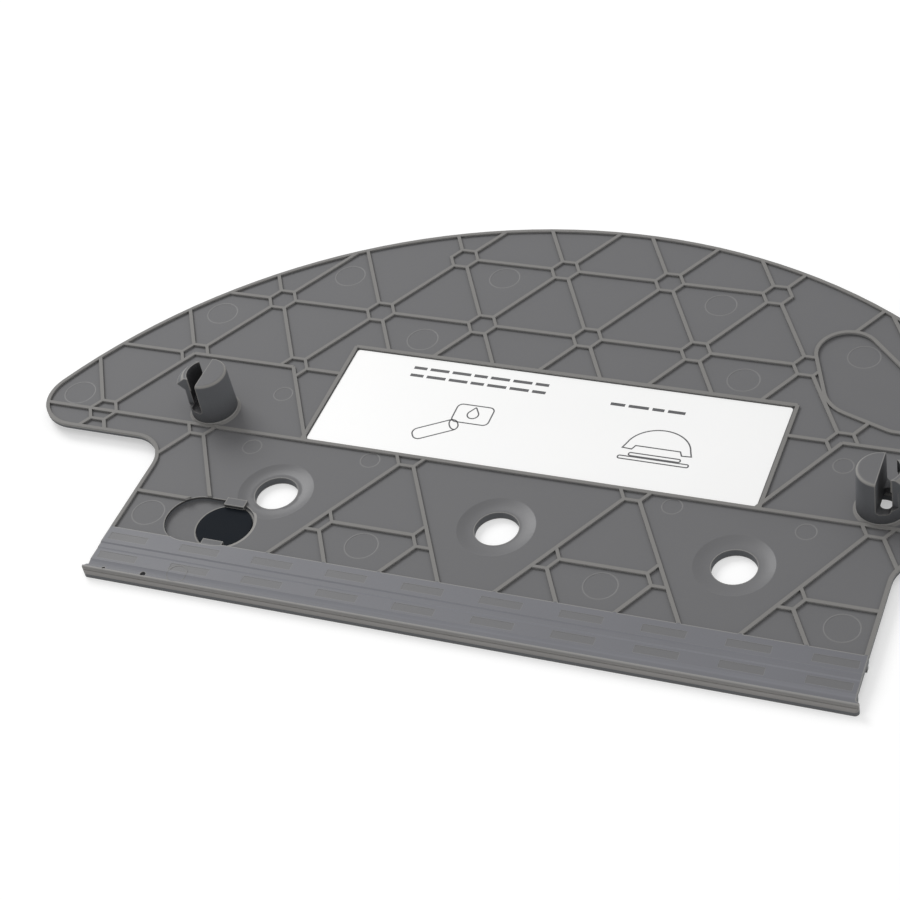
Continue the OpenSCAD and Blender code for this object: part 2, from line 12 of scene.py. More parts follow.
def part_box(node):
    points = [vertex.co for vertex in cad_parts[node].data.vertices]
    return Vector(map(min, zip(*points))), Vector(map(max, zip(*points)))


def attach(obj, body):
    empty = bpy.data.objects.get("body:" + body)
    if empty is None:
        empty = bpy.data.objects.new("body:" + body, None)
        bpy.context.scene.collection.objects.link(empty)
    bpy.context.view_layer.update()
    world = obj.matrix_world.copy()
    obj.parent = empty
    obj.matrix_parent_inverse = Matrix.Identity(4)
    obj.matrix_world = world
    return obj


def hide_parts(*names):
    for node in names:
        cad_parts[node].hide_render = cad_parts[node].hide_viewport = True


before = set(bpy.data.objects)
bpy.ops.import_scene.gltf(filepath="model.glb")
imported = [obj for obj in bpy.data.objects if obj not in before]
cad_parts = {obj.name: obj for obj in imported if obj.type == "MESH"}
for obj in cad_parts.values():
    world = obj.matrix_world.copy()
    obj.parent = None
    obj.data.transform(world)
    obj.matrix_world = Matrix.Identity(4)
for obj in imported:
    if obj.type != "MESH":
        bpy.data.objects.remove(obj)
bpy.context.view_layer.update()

bl_info = {
    "name": "Mop bracket looks",
    "version": (1, 0, 0),
    "blender": (4, 5, 0),
    "location": "3D View > Sidebar > Mop bracket",
    "description": "Dresses the moulded mop bracket and sets up its stage",
    "category": "Object",
}

MM = 0.001
BODY = "root"

# Steps of the rib grid, and the ejector marks in such steps: to the right of the plate's middle line, and down
# from the first row of hexagons. The one on the front bar is in millimetres from the middle line and the edge.
PITCH = 34.0
PINS = ((-2.5, 0.48), (-1.03, 0.22), (-1.475, 1.32), (1.04, 0.24), (1.5, 1.3), (-4.34, 2.79), (4.34, 2.79),
        (-3.5, 1.32), (-2.99, 4.25), (-1.02, 4.22), (1.04, 4.22), (2.97, 4.24))
POCKET_PIN = (2.43, 0.742)
SMALL_PINS = ((-2.45, 2.39), (-2.44, 3.18), (2.57, 2.28), (2.46, 3.18), (1.34, 3.12), (-1.34, 3.12))
BAR_PIN = (-82.2, 4.15)
FIRST_ROW = 21.1
PIN_R, SMALL_PIN_R = 4.8, 2.9

# Heights on the plate above the underside of the label film, which lies on the floor between the ribs, and
# places on the front bar, behind its front edge
RIB_TOP = 0.7
BAR_W = 16.6
BAR_STEP = 10.4
HOLLOW_MID, HOLLOW_END = 2.15, 4.1
HOLLOW_DEPTH, HOLLOW_R = 0.5, 4.05
BEAD_MID, BEAD_R = 1.05, 0.55
MARKS_DEPTH = 0.05
FRONT_DROP = 0.4
POCKET_DEPTH = 0.3
FEED_R, FEED_DEPTH, FEED_REACH = 9.0, 1.4, 16.0
SEAT_R = 8.35
LIP_W = 1.7
LIP_LEDGE = -0.9
FRONT_FACE_TOP = -2.0


class PlateLook(PropertyGroup):
    """Finish of the moulded plate."""

    floor_colour: FloatVectorProperty(
        name="Floor colour", description="Colour of the fine matt skin between the ribs",
        subtype="COLOR", min=0, max=1, default=(0.127, 0.127, 0.1315))
    # Painted highlight: the rib tops get a lighter colour than the floor, standing in for the light that their rounded
    # tops catch; it also paints the highlights on the posts' foot rings and the magnet seat's rim
    rib_highlight_colour: FloatVectorProperty(
        name="Rib top colour", description="Painted highlight: colour of the rib tops, lighter than the floor",
        subtype="COLOR", min=0, max=1, default=(0.192, 0.187, 0.180))
    strip_colour: FloatVectorProperty(
        name="Front strip colour", description="Colour of the thick bar along the straight front edge",
        subtype="COLOR", min=0, max=1, default=(0.143, 0.145, 0.160))
    # Painted light: upright faces get a lighter, bluer colour than the floor, standing in for the light on them
    upright_light_colour: FloatVectorProperty(
        name="Upright face colour", description="Colour of upright faces, lighter and bluer than the floor as painted light",
        subtype="COLOR", min=0, max=1, default=(0.142, 0.147, 0.156))
    # Painted light: the ribs' low side walls get a much lighter colour than the floor, standing in for light on their
    # shaded sides
    rib_wall_light_colour: FloatVectorProperty(
        name="Rib wall colour", description="Colour of the ribs' low side walls",
        subtype="COLOR", min=0, max=1, default=(0.37, 0.364, 0.352))
    # Painted highlight: edges and rims get a lighter colour, standing in for the glint of light on their rounded edges
    edge_highlight_colour: FloatVectorProperty(
        name="Edge colour", description="Colour of painted highlights on edges and rims",
        subtype="COLOR", min=0, max=1, default=(0.275, 0.268, 0.256))
    # Painted highlight: the bead along the front edge gets a lighter colour
    bead_highlight_colour: FloatVectorProperty(
        name="Bead colour", description="Colour of the painted highlight on the bead along the front edge",
        subtype="COLOR", min=0, max=1, default=(0.245, 0.24, 0.234))
    # Painted light: the lip's front and the shoulder below get a lighter colour in place of light from the front
    lip_light_colour: FloatVectorProperty(
        name="Lip colour", description="Colour of the lip's front, lightened as painted light",
        subtype="COLOR", min=0, max=1, default=(0.33, 0.318, 0.308))
    # Painted light: the bar's small steps and hollow get a lighter colour than the bar, lifting the shade on their
    # slopes
    step_light_colour: FloatVectorProperty(
        name="Bar step colour", description="Colour of the small steps and the hollow along the front bar",
        subtype="COLOR", min=0, max=1, default=(0.190, 0.193, 0.212))
    mark_colour: FloatVectorProperty(
        name="Bar mark colour", description="Colour of the shallow marks on the front bar",
        subtype="COLOR", min=0, max=1, default=(0.132, 0.132, 0.136))
    # Painted shade: near-black colour deep in the posts' slots
    cavity_shade_colour: FloatVectorProperty(
        name="Cavity colour", description="Colour deep in the posts' slots",
        subtype="COLOR", min=0, max=1, default=(0.028, 0.028, 0.030))
    # Painted shade: a darker colour on the floor right beside the ribs
    corner_shade_colour: FloatVectorProperty(
        name="Corner colour", description="Colour of the painted shade on the floor right beside the ribs",
        subtype="COLOR", min=0, max=1, default=(0.110, 0.109, 0.111))
    # Painted shade: near-black colour on the upper part of the low wall round the magnet's recess
    recess_shade_colour: FloatVectorProperty(
        name="Recess wall colour", description="Colour of the low wall round the magnet's recess",
        subtype="COLOR", min=0, max=1, default=(0.045, 0.045, 0.047))
    # Width of the painted shade beside the ribs
    corner_shade_w: FloatProperty(
        name="Corner width", description="How far the painted shade reaches from a rib", unit="LENGTH", default=1.0 * MM)
    # Width of the painted edge highlight
    edge_highlight_w: FloatProperty(
        name="Edge width", description="How far the painted highlight reaches from an edge", unit="LENGTH", default=0.4 * MM)
    # Reach of the painted shade in cavities
    cavity_shade_w: FloatProperty(
        name="Cavity width", description="How far away the walls of a dark cavity stand", unit="LENGTH",
        default=9 * MM)
    roughness: FloatProperty(name="Roughness", description="Roughness of the matt skin", default=0.63)
    bar_roughness: FloatProperty(name="Bar roughness", description="Roughness of the front bar", default=0.48)
    dish_roughness: FloatProperty(name="Dish roughness", description="Roughness of the drip dishes", default=0.38)
    ring_w: FloatProperty(
        name="Ring width", description="Width of the fine ring round an ejector mark", unit="LENGTH",
        default=0.5 * MM)
    grain: FloatProperty(
        name="Grain", description="Size of the skin's fine grain", unit="LENGTH", default=0.35 * MM)
    drift: FloatProperty(
        name="Flow marks", description="Size of the soft light and dark clouds in the plastic",
        unit="LENGTH", default=22 * MM)


class MagnetLook(PropertyGroup):
    """Shape and finish of the magnet disc."""

    edge_round: FloatProperty(
        name="Edge rounding", description="Radius of the coated disc's edges", unit="LENGTH", default=0.15 * MM)
    crown: FloatProperty(
        name="Coat crown", description="How far the coat swells in the middle of the disc",
        unit="LENGTH", default=0.03 * MM)
    colour: FloatVectorProperty(
        name="Coat colour", description="Colour of the matt black coat",
        subtype="COLOR", min=0, max=1, default=(0.009, 0.0115, 0.0155))


class LabelLook(PropertyGroup):
    """Film and generic print of the label."""

    film_colour: FloatVectorProperty(
        name="Film colour", description="Colour of the white film",
        subtype="COLOR", min=0, max=1, default=(0.945, 0.945, 0.94))
    ink_colour: FloatVectorProperty(
        name="Ink colour", description="Colour of the printed lines",
        subtype="COLOR", min=0, max=1, default=(0.060, 0.060, 0.064))
    ink_t: FloatProperty(
        name="Ink thickness", description="Height of the print above the film", unit="LENGTH", default=0.02 * MM)
    line_w: FloatProperty(
        name="Line width", description="Width of the drawn lines", unit="LENGTH", default=0.42 * MM)


class TapeLook(PropertyGroup):
    """Hook tape under the plate."""

    width: FloatProperty(
        name="Tape width", description="Width of the hook tape", unit="LENGTH", default=18 * MM)
    corner: FloatProperty(
        name="Corner radius", description="Radius of the straight pads' corners", unit="LENGTH", default=3 * MM)
    backing: FloatProperty(
        name="Backing thickness", description="Thickness of the woven backing", unit="LENGTH", default=0.6 * MM)
    spacing: FloatProperty(
        name="Hook spacing", description="Distance between two hooks", unit="LENGTH", default=1.7 * MM)
    wire: FloatProperty(
        name="Hook thickness", description="Radius of a hook's wire", unit="LENGTH", default=0.13 * MM)
    colour: FloatVectorProperty(
        name="Tape colour", description="Colour of the hook tape",
        subtype="COLOR", min=0, max=1, default=(0.016, 0.016, 0.018))


class StageLook(PropertyGroup):
    """Camera, floor and light."""

    camera_at: FloatVectorProperty(
        name="Camera place", description="Where the camera stands", subtype="XYZ", unit="LENGTH",
        default=(0.20167, -0.41386, 0.41957))
    azimuth: FloatProperty(name="Azimuth", description="Turn of the view round the plate, in degrees", default=27.021)
    elevation: FloatProperty(name="Elevation", description="Height of the view, in degrees", default=42.876)
    roll: FloatProperty(name="Roll", description="Tilt of the picture, in degrees", default=-10.766)
    lens: FloatProperty(name="Lens", description="Focal length in millimetres", default=85.734)
    shift: FloatProperty(name="Shift", description="Sideways shift of the picture", default=-0.0849)
    bounce: FloatProperty(
        name="Floor bounce", description="How bright the floor is for the light that it throws back", default=0.34)
    sky: FloatProperty(name="Sky light", description="Strength of the even light from all round", default=0.55)
    key: FloatProperty(name="Key light", description="Power of the softbox behind on the left", default=69.0)
    fill: FloatProperty(name="Fill light", description="Power of the softbox above the plate", default=3.5)


GROUPS = (
    ("plate_look", PlateLook), ("magnet_look", MagnetLook), ("label_look", LabelLook),
    ("tape_look", TapeLook), ("stage_look", StageLook),
)


def look(name):
    """The property group of that name."""
    return getattr(bpy.context.scene, name)


def box_mm(node):
    """Lowest and highest corner of a CAD node, in millimetres."""
    low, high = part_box(node)
    return np.array(low) / MM, np.array(high) / MM


# Meshes

def grid_quads(rows, columns, close_columns=False):
    """Quads between neighbouring points of a grid whose points are numbered row by row."""
    wide = columns if close_columns else columns - 1
    row, column = np.meshgrid(np.arange(rows - 1), np.arange(wide), indexing="ij")
    here = row * columns + column
    beside = row * columns + (column + 1) % columns
    return np.stack([here, beside, beside + columns, here + columns], -1).reshape(-1, 4)


def add_piece(name, points, faces, material, sharp_deg=40):
    """Puts points (in millimetres) and faces into a new mesh that rides on the bracket. Points that fall
    together at poles and seams are merged, and the faces are turned outwards."""
    mesh = bpy.data.meshes.new(name)
    mesh.from_pydata((np.asarray(points) * MM).tolist(), [], [list(f) for f in faces])
    work = bmesh.new()
    work.from_mesh(mesh)
    bmesh.ops.remove_doubles(work, verts=work.verts, dist=1e-7)
    bmesh.ops.dissolve_degenerate(work, edges=work.edges, dist=1e-8)
    bmesh.ops.recalc_face_normals(work, faces=work.faces)
    limit = np.radians(sharp_deg)
    for edge in work.edges:
        edge.smooth = len(edge.link_faces) == 2 and edge.calc_face_angle(0) < limit
    for face in work.faces:
        face.smooth = True
    work.to_mesh(mesh)
    work.free()
    mesh.materials.append(material)
    piece = bpy.data.objects.new(name, mesh)
    bpy.context.scene.collection.objects.link(piece)
    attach(piece, BODY)
    return piece


def revolve(profile, middle, steps=128):
    """Surface of revolution: point (i, j) is profile point i, as radius and height, turned by the angle
    2 pi j / steps about the upright axis through middle."""
    profile = np.asarray(profile, float)
    angle = 2 * np.pi * np.arange(steps) / steps
    radius = profile[:, 0, None]
    points = np.stack([middle[0] + radius * np.cos(angle), middle[1] + radius * np.sin(angle),
                       np.broadcast_to(profile[:, 1, None], (len(profile), steps))], -1)
    return points.reshape(-1, 3), grid_quads(len(profile), steps, close_columns=True)


def ribbon(path, width, low, high, closed=False):
    """Flat line of ink along a path in the plan: at each path point a rectangle stands across the path, as
    wide as the line and from low to high. Its sides are the path point plus or minus half the width times
    the path's normal, which is longer at a bend so that the line keeps its width."""
    path = np.asarray(path, float)
    if closed:
        before = path - np.roll(path, 1, 0)
        after = np.roll(path, -1, 0) - path
    else:
        step = np.diff(path, axis=0)
        before = np.vstack([step[:1], step])
        after = np.vstack([step, step[-1:]])
    before = before / np.linalg.norm(before, axis=1, keepdims=True)
    after = after / np.linalg.norm(after, axis=1, keepdims=True)
    along = before + after
    along /= np.linalg.norm(along, axis=1, keepdims=True)
    stretch = 1 / np.clip((along * before).sum(1), 0.4, 1)
    across = np.stack([-along[:, 1], along[:, 0]], -1) * (stretch * width / 2)[:, None]
    left, right = path + across, path - across
    rows = np.stack([np.column_stack([side, np.full(len(path), z)])
                     for side, z in ((left, low), (left, high), (right, high), (right, low))], 1)
    count = len(path)
    faces = grid_quads(count, 4, close_columns=True).tolist()
    if closed:
        last, first = (count - 1) * 4, 0
        faces += [[last + k, last + (k + 1) % 4, first + (k + 1) % 4, first + k] for k in range(4)]
    else:
        faces += [[0, 1, 2, 3], [count * 4 - 4 + k for k in (3, 2, 1, 0)]]
    return rows.reshape(-1, 3), faces


def arc(middle, radius, start_deg, end_deg, steps=24):
    """Points of an arc: middle plus radius times the cosine and sine of the angle."""
    angle = np.radians(np.linspace(start_deg, end_deg, steps))
    return np.stack([middle[0] + radius[0] * np.cos(angle), middle[1] + radius[1] * np.sin(angle)], -1)


def joined(parts):
    """Several (points, faces) pairs as one."""
    points, faces, start = [], [], 0
    for part_points, part_faces in parts:
        points.append(np.asarray(part_points))
        faces += [[start + i for i in face] for face in part_faces]
        start += len(part_points)
    return np.vstack(points), faces


def turned(path, middle, degrees):
    """The path turned about a point: the offset from it times the rotation matrix."""
    a = np.radians(degrees)
    turn = np.array([[np.cos(a), -np.sin(a)], [np.sin(a), np.cos(a)]])
    return (np.asarray(path, float) - middle) @ turn.T + middle


# Node helpers

def new_tree(material):
    material.use_nodes = True
    tree = material.node_tree
    tree.nodes.clear()
    return tree


def node(tree, kind, **values):
    """A new node with its settings and the values of its unlinked inputs."""
    made = tree.nodes.new(kind)
    for key, value in values.items():
        if key in made.inputs:
            made.inputs[key].default_value = value
        else:
            setattr(made, key, value)
    return made


def skin_group():
    """Node group for a moulded or coated skin. A cloud noise drifts the colour and the roughness, and a fine
    noise over a finer one gives the height of the grain."""
    name = "Skin"
    if name in bpy.data.node_groups:
        return bpy.data.node_groups[name]
    group = bpy.data.node_groups.new(name, "ShaderNodeTree")
    for label, kind, default in (("Vector", "NodeSocketVector", None), ("Color", "NodeSocketColor", None),
                                 ("Drift Size", "NodeSocketFloat", 0.02), ("Drift", "NodeSocketFloat", 0.08),
                                 ("Grain Size", "NodeSocketFloat", 0.0004), ("Roughness", "NodeSocketFloat", 0.5),
                                 ("Roughness Spread", "NodeSocketFloat", 0.1)):
        socket = group.interface.new_socket(label, in_out="INPUT", socket_type=kind)
        if default is not None:
            socket.default_value = default
    for label, kind in (("Color", "NodeSocketColor"), ("Roughness", "NodeSocketFloat"), ("Height", "NodeSocketFloat")):
        group.interface.new_socket(label, in_out="OUTPUT", socket_type=kind)
    ends = group.nodes.new("NodeGroupInput"), group.nodes.new("NodeGroupOutput")
    inp, out = ends

    def scale_of(label, times=1.0):
        over = node(group, "ShaderNodeMath", operation="DIVIDE")
        over.inputs[0].default_value = times
        group.links.new(inp.outputs[label], over.inputs[1])
        return over.outputs[0]

    cloud = node(group, "ShaderNodeTexNoise", Detail=3.0, Roughness=0.55)
    group.links.new(inp.outputs["Vector"], cloud.inputs["Vector"])
    group.links.new(scale_of("Drift Size"), cloud.inputs["Scale"])
    centred = node(group, "ShaderNodeMath", operation="SUBTRACT")
    centred.inputs[1].default_value = 0.5
    group.links.new(cloud.outputs["Fac"], centred.inputs[0])
    amount = node(group, "ShaderNodeMath", operation="MULTIPLY")
    group.links.new(centred.outputs[0], amount.inputs[0])
    group.links.new(inp.outputs["Drift"], amount.inputs[1])
    factor = node(group, "ShaderNodeMath", operation="ADD")
    factor.inputs[1].default_value = 1.0
    group.links.new(amount.outputs[0], factor.inputs[0])
    tint = node(group, "ShaderNodeVectorMath", operation="SCALE")
    group.links.new(inp.outputs["Color"], tint.inputs[0])
    group.links.new(factor.outputs[0], tint.inputs["Scale"])
    group.links.new(tint.outputs[0], out.inputs["Color"])

    rough = node(group, "ShaderNodeMath", operation="MULTIPLY_ADD")
    group.links.new(centred.outputs[0], rough.inputs[0])
    group.links.new(inp.outputs["Roughness Spread"], rough.inputs[1])
    group.links.new(inp.outputs["Roughness"], rough.inputs[2])
    group.links.new(rough.outputs[0], out.inputs["Roughness"])

    grain = node(group, "ShaderNodeTexNoise", Detail=2.0, Roughness=0.6)
    group.links.new(inp.outputs["Vector"], grain.inputs["Vector"])
    group.links.new(scale_of("Grain Size"), grain.inputs["Scale"])
    group.links.new(grain.outputs["Fac"], out.inputs["Height"])
    return group


def finish_shader(tree, skin, bump_mm, colour=None, **plain):
    """Principled shader fed by the skin group: colour, roughness and a Bump node of the given height.
    All plain values stay on the shader's own sockets."""
    shader = node(tree, "ShaderNodeBsdfPrincipled", **plain)
    out = node(tree, "ShaderNodeOutputMaterial")
    bump = node(tree, "ShaderNodeBump", Strength=1.0, Distance=bump_mm * MM)
    tree.links.new(skin.outputs["Height"], bump.inputs["Height"])
    tree.links.new(bump.outputs["Normal"], shader.inputs["Normal"])
    tree.links.new(colour or skin.outputs["Color"], shader.inputs["Base Color"])
    tree.links.new(skin.outputs["Roughness"], shader.inputs["Roughness"])
    tree.links.new(shader.outputs["BSDF"], out.inputs["Surface"])
    return shader


def add_skin(tree, vector, **values):
    """The skin group placed in a material, with that material's own values."""
    skin = node(tree, "ShaderNodeGroup")
    skin.node_tree = skin_group()
    for key, value in values.items():
        skin.inputs[key].default_value = value
    tree.links.new(vector, skin.inputs["Vector"])
    return skin


def step_mask(tree, value, low, high):
    """0 below low and 1 above high, with a straight slope between."""
    ramp = node(tree, "ShaderNodeMapRange", clamp=True)
    ramp.inputs["From Min"].default_value = low
    ramp.inputs["From Max"].default_value = high
    tree.links.new(value, ramp.inputs["Value"])
    return ramp.outputs["Result"]


def product(tree, first, second):
    times = node(tree, "ShaderNodeMath", operation="MULTIPLY")
    tree.links.new(first, times.inputs[0])
    tree.links.new(second, times.inputs[1])
    return times.outputs[0]


def brighter(tree, first, second):
    most = node(tree, "ShaderNodeMath", operation="MAXIMUM")
    tree.links.new(first, most.inputs[0])
    tree.links.new(second, most.inputs[1])
    return most.outputs[0]


def mixed(tree, mask, first, second):
    """Colour mix: first where the mask is 0, second where it is 1. Each is a socket or a plain colour."""
    mix = node(tree, "ShaderNodeMix", data_type="RGBA")
    tree.links.new(mask, mix.inputs[0])
    for source, socket in ((first, mix.inputs[6]), (second, mix.inputs[7])):
        if isinstance(source, bpy.types.NodeSocket):
            tree.links.new(source, socket)
        else:
            socket.default_value = (*source, 1)
    return mix.outputs[2]


def between(tree, value, low, high, blur):
    """1 from low to high and 0 outside, with slopes as wide as the blur."""
    return product(tree, step_mask(tree, value, low - blur / 2, low + blur / 2),
                   step_mask(tree, value, high + blur / 2, high - blur / 2))


def plate_material():
    """Moulded plastic: the floor's matt skin, lighter rib tops as a painted highlight, upright walls lightened as
    painted light and the bluish front bar, told apart by height, place and slope on Object coordinates. Highlights on
    edges and rims, light on the low walls, steps and lip, and shade in corners, slots and the magnet's recess are
    painted too."""
    p = look("plate_look")
    film_z = box_mm("label_film")[0][2]
    edge_y = box_mm("bracket_plate")[0][1]
    post_z = box_mm("bracket_plate")[1][2]
    material = bpy.data.materials.new("Moulded grey plastic")
    tree = new_tree(material)
    place = node(tree, "ShaderNodeTexCoord")
    split = node(tree, "ShaderNodeSeparateXYZ")
    tree.links.new(place.outputs["Object"], split.inputs[0])
    slope = node(tree, "ShaderNodeSeparateXYZ")
    tree.links.new(place.outputs["Normal"], slope.inputs[0])
    steep = slope.outputs["Z"]

    def level(low, high, blur=0.04):
        """Mask of a range of heights above the label film's underside."""
        return between(tree, split.outputs["Z"], (film_z + low) * MM, (film_z + high) * MM, blur * MM)

    def depth(low, high, blur=0.1):
        """Mask of a range of places behind the front edge."""
        return between(tree, split.outputs["Y"], (edge_y + low) * MM, (edge_y + high) * MM, blur * MM)

    def facing(low, high, blur=0.2):
        """Mask of a range of slopes: 1 faces up, 0 is upright, and -1 faces down."""
        return between(tree, steep, low, high, blur)

    bar = depth(-1, BAR_W)
    plate = depth(BAR_W + 0.2, 999)
    ribs = product(tree, level(RIB_TOP - 0.12, RIB_TOP + 0.3), plate)
    top = mixed(tree, bar, p.floor_colour, p.strip_colour)
    # The shallow marks on the bar, told by their depth below its two strips
    rear_marks = product(tree, depth(BAR_STEP + 0.4, BAR_W), level(-1, RIB_TOP - MARKS_DEPTH / 2, 0.02))
    front_strip = RIB_TOP - FRONT_DROP
    front_marks = product(tree, depth(HOLLOW_END + 0.15, BAR_STEP - 2),
                          level(-1, front_strip - MARKS_DEPTH / 2, 0.02))
    for marks in (rear_marks, front_marks):
        top = mixed(tree, marks, top, p.mark_colour)
    # Painted light: upright faces take the lighter upright colour
    whole = mixed(tree, facing(0.7, 2, 0.3), p.upright_light_colour, top)
    # Painted light: the ribs' low side walls are made much lighter than the floor
    low_wall_light = product(tree, product(tree, level(0, RIB_TOP + 0.3, 0.05), facing(-0.4, 0.4)), plate)
    whole = mixed(tree, low_wall_light, whole, p.rib_wall_light_colour)
    # Painted light: the small steps along the bar are made lighter
    steps = product(tree, product(tree, bar, facing(0.4, 0.98, 0.03)), depth(LIP_W, BAR_W))
    whole = mixed(tree, steps, whole, p.step_light_colour)
    # Painted highlights: the bevelled rings round the posts' feet and the round rims of the posts' tops are made
    # lighter
    foot_ring_highlight = product(tree, product(tree, facing(0.4, 0.94, 0.04), level(0.02, 0.52)), plate)
    whole = mixed(tree, foot_ring_highlight, whole, p.rib_highlight_colour)
    post_rim_highlight = product(tree, facing(0.3, 0.9), level(post_z - film_z - 1.0, 99, 0.1))
    whole = mixed(tree, post_rim_highlight, whole, p.edge_highlight_colour)
    # The lip along the front edge: its round bead lighter as a painted highlight, and its front and the shoulder below
    # lighter as painted light
    lip = depth(-1, LIP_W)
    whole = mixed(tree, product(tree, lip, level(FRONT_FACE_TOP, 99)), whole, p.lip_light_colour)
    bead = product(tree, product(tree, lip, level(LIP_LEDGE, 99)), facing(0.3, 2))
    whole = mixed(tree, bead, whole, p.bead_highlight_colour)
    # Painted shade on the upper part of the wall round the magnet's recess, and painted highlights on the edges of the
    # recess and the seat
    low, high = box_mm("magnet_disc")
    beside = between(tree, split.outputs["X"], (low[0] - FEED_REACH) * MM, (high[0] + 1) * MM, 0.1 * MM)
    behind = between(tree, split.outputs["Y"], (low[1] - 1) * MM, (high[1] + 1) * MM, 0.1 * MM)
    recess = product(tree, beside, behind)
    recess_wall_shade = product(tree, product(tree, level(-FEED_DEPTH / 2, -0.05), facing(-0.5, 0.5)), recess)
    whole = mixed(tree, recess_wall_shade, whole, p.recess_shade_colour)
    flat = node(tree, "ShaderNodeVectorMath", operation="MULTIPLY")
    flat.inputs[1].default_value = (1, 1, 0)
    tree.links.new(place.outputs["Object"], flat.inputs[0])
    away = node(tree, "ShaderNodeVectorMath", operation="DISTANCE")
    away.inputs[1].default_value = (*((low + high)[:2] / 2 * MM), 0)
    tree.links.new(flat.outputs[0], away.inputs[0])

    def ring(inside, outside):
        """Mask of a range of distances from the magnet's middle."""
        return between(tree, away.outputs["Value"], inside * MM, outside * MM, 0.1 * MM)

    flat_tops = facing(0.7, 2)
    # Painted highlights: pale rims round the recess and the magnet's seat
    floor_rim_highlight = product(tree, product(tree, ring(FEED_R - 0.1, FEED_R + 0.7), level(-0.5, 0.1)), flat_tops)
    whole = mixed(tree, floor_rim_highlight, whole, p.edge_highlight_colour)
    seat_rim_highlight = product(tree, ring(SEAT_R - 0.1, SEAT_R + 0.4), level(-FEED_DEPTH - 0.1, -FEED_DEPTH + 0.1))
    whole = mixed(tree, product(tree, seat_rim_highlight, flat_tops), whole, p.rib_highlight_colour)
    # Painted highlight on outer edges, where short rays into the plastic come out again at a neighbouring face
    edge = node(tree, "ShaderNodeAmbientOcclusion", inside=True, only_local=True, samples=6, Distance=p.edge_highlight_w)
    edge_highlight = step_mask(tree, edge.outputs["AO"], 0.95, 0.55)
    whole = mixed(tree, edge_highlight, whole, p.edge_highlight_colour)
    # Painted highlight: the rib tops are made lighter than the floor
    whole = mixed(tree, product(tree, ribs, facing(0.7, 2, 0.3)), whole, p.rib_highlight_colour)
    # Painted shade deep in the posts' slots, where hardly a ray comes out
    cavity = node(tree, "ShaderNodeAmbientOcclusion", only_local=True, samples=4, Distance=p.cavity_shade_w)
    cavity_shade = product(tree, step_mask(tree, cavity.outputs["AO"], 0.88, 0.52), level(RIB_TOP + 0.3, 99))
    whole = mixed(tree, cavity_shade, whole, p.cavity_shade_colour)
    # Painted shade in the corners at the ribs' feet
    corner = node(tree, "ShaderNodeAmbientOcclusion", only_local=True, samples=4, Distance=p.corner_shade_w)
    corner_shade = product(tree, step_mask(tree, corner.outputs["AO"], 0.92, 0.5), level(-0.5, RIB_TOP - 0.3))
    whole = mixed(tree, product(tree, corner_shade, plate), whole, p.corner_shade_colour)
    # The dishes and the bar are smoother than the rest
    dish = product(tree, product(tree, facing(0.9, 0.997, 0.002), level(-0.9, -0.02)), plate)
    rough = mixed(tree, dish, mixed(tree, bar, (p.roughness,) * 3, (p.bar_roughness,) * 3), (p.dish_roughness,) * 3)
    skin = add_skin(tree, place.outputs["Object"], **{
        "Drift Size": p.drift, "Drift": 0.16, "Grain Size": p.grain, "Roughness Spread": 0.12})
    tree.links.new(whole, skin.inputs["Color"])
    tree.links.new(rough, skin.inputs["Roughness"])
    finish_shader(tree, skin, 0.02, **{"Specular IOR Level": 0.35})
    return material


def mark_material():
    """The plate's plastic where the ejector pins left it a little lighter."""
    p = look("plate_look")
    material = bpy.data.materials.new("Ejector marks")
    tree = new_tree(material)
    place = node(tree, "ShaderNodeTexCoord")
    skin = add_skin(tree, place.outputs["Object"], **{
        "Drift Size": 5 * MM, "Drift": 0.3, "Grain Size": p.grain, "Roughness": 0.55,
        "Roughness Spread": 0.1, "Color": (*(0.7 * np.array(p.floor_colour) + 0.3 * np.array(p.rib_highlight_colour)), 1)})
    finish_shader(tree, skin, 0.02)
    return material


def magnet_material():
    """Matt black coat with a fine speckle."""
    p = look("magnet_look")
    material = bpy.data.materials.new("Matt black coat")
    tree = new_tree(material)
    place = node(tree, "ShaderNodeTexCoord")
    skin = add_skin(tree, place.outputs["Object"], **{
        "Drift Size": 4 * MM, "Drift": 0.35, "Grain Size": 0.25 * MM, "Roughness": 0.75,
        "Roughness Spread": 0.15, "Color": (*p.colour, 1)})
    finish_shader(tree, skin, 0.012, **{"Specular IOR Level": 0.08})
    return material


def film_material():
    """White film: faint clouds, satin gloss and a hardly visible wave."""
    p = look("label_look")
    material = bpy.data.materials.new("White label film")
    tree = new_tree(material)
    place = node(tree, "ShaderNodeTexCoord")
    skin = add_skin(tree, place.outputs["Object"], **{
        "Drift Size": 30 * MM, "Drift": 0.02, "Grain Size": 1.2 * MM, "Roughness": 0.38,
        "Roughness Spread": 0.08, "Color": (*p.film_colour, 1)})
    finish_shader(tree, skin, 0.004)
    return material


def ink_material():
    """Dark printing ink, a little uneven."""
    p = look("label_look")
    material = bpy.data.materials.new("Label ink")
    tree = new_tree(material)
    place = node(tree, "ShaderNodeTexCoord")
    skin = add_skin(tree, place.outputs["Object"], **{
        "Drift Size": 3 * MM, "Drift": 0.5, "Grain Size": 0.3 * MM, "Roughness": 0.5,
        "Roughness Spread": 0.1, "Color": (*p.ink_colour, 1)})
    finish_shader(tree, skin, 0.003)
    return material


